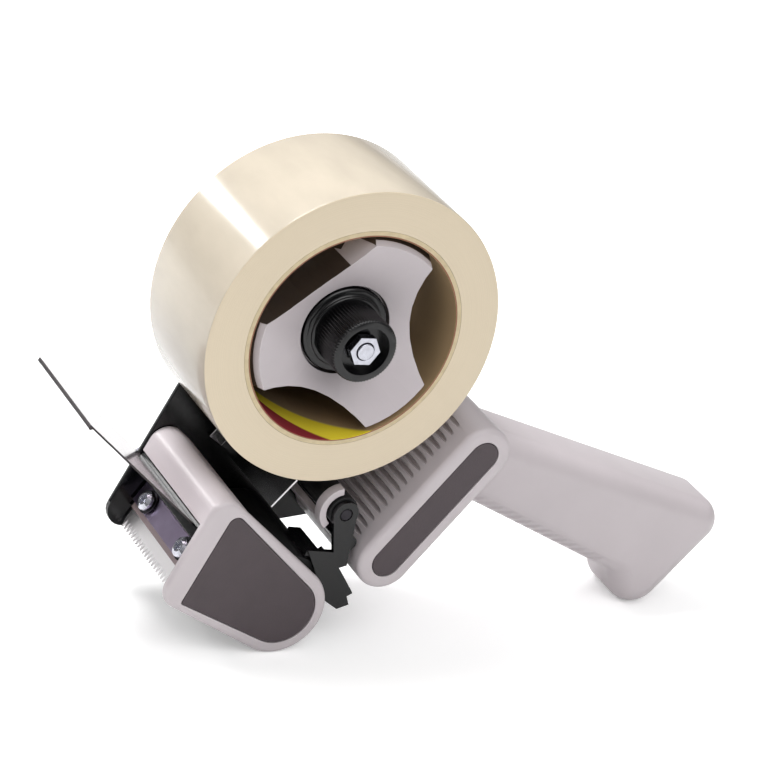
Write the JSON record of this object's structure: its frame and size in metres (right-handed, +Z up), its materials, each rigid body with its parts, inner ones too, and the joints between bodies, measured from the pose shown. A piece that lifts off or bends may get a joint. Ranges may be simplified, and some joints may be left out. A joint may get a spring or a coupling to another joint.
{
  "type": "packing tape dispenser",
  "caption": "Pistol-grip packing tape dispenser: steel side plate, moulded head with toothed blade, flap and roller, ribbed rear body, grip, and a reel with a knurled brake knob.",
  "frame": {"origin": "on the ground, under the middle of the object's box", "axes": "+X from the head to the handle, +Y from the roll's open face to the side plate, +Z up"},
  "size_m": [0.2718, 0.0652, 0.1749],
  "materials": {
    "grey_plastic": "light grey, satin moulding",
    "white_plastic": "white, satin",
    "black_plastic": "black, half gloss",
    "black_steel": "black enamel on steel sheet",
    "dark_steel": "dark zinc plate",
    "steel": "bright zinc plate",
    "label": "bare dark inset",
    "strip": "brown fibre strip",
    "pale_sheet": "pale springy sheet",
    "rubber": "black, dull",
    "cardboard": "kraft cardboard tube",
    "tape": "wound clear film tape",
    "felt": "red felt"
  },
  "bodies": {
    "frame": {"side_plate": "black_steel", "head_shell": "grey_plastic", "head_label": "label", "applicator_axle": "steel", "blade_clamp_bar": "steel", "blade_spacer": "strip", "blade": "steel", "blade_holder": "black_steel", "blade_washer_1": "dark_steel", "blade_washer_2": "dark_steel", "blade_screw_1": "steel", "blade_screw_2": "steel", "flap_clamp_bar": "black_steel", "rear_body": "grey_plastic", "rear_label": "label", "handle": "grey_plastic", "handle_screw_1": "steel", "handle_screw_2": "steel", "tension_axle": "steel", "tape_guide": "grey_plastic", "guide_bracket": "black_plastic", "guide_strip": "black_steel", "pressure_washer": "steel", "brake_spring": "steel", "bolt_sleeve": "steel", "jam_nut": "steel", "lock_nut": "steel", "hub_bolt": "steel", "head_screw_nose": "steel", "head_screw_back": "steel", "blade_holder_screw": "steel", "flap_clamp_screw": "steel", "rear_screw_low": "steel", "rear_screw_high": "steel", "bracket_screw": "steel", "guide_strip_screw": "steel"},
    "reel": {"hub": "grey_plastic", "core": "cardboard", "tape_roll": "tape", "friction_washer": "felt"},
    "spring_cup": {"spring_cup": "steel"},
    "knob": {"knob": "black_plastic"},
    "applicator_roller": {"applicator_core": "white_plastic", "applicator_tyre": "rubber"},
    "tension_roller": {"tension_roller": "rubber"},
    "flap": {"flap": "pale_sheet"}
  },
  "joints": [
    {"name": "reel_spin", "type": "hinge", "parent": "frame", "child": "reel", "pos_m": [-0.0458, 0, 0.12055], "axis": [0, 1, 0], "continuous": true},
    {"name": "knob_travel", "type": "slide", "parent": "frame", "child": "spring_cup", "axis": [0, 1, 0], "range_m": [-0.00075, 0.001], "deforming": ["brake_spring"]},
    {"name": "knob_turn", "type": "hinge", "parent": "spring_cup", "child": "knob", "pos_m": [-0.0458, 0, 0.12055], "axis": [0, 1, 0], "range_deg": [-270, 360]},
    {"name": "applicator_spin", "type": "hinge", "parent": "frame", "child": "applicator_roller", "pos_m": [-0.05069, 0, 0.01861], "axis": [0, 1, 0], "continuous": true},
    {"name": "tension_spin", "type": "hinge", "parent": "frame", "child": "tension_roller", "pos_m": [-0.03371, 0, 0.05275], "axis": [0, 1, 0], "continuous": true},
    {"name": "flap_flex", "type": "hinge", "parent": "frame", "child": "flap", "pos_m": [-0.09123, 0, 0.05121], "axis": [0, 1, 0], "range_deg": [0, 28], "stiffness_Nm_per_rad": 0.05}
  ],
  "couplings": [
    {"joint": "knob_travel", "follows": "knob_turn", "m_per_rad": 0.00015915}
  ]
}
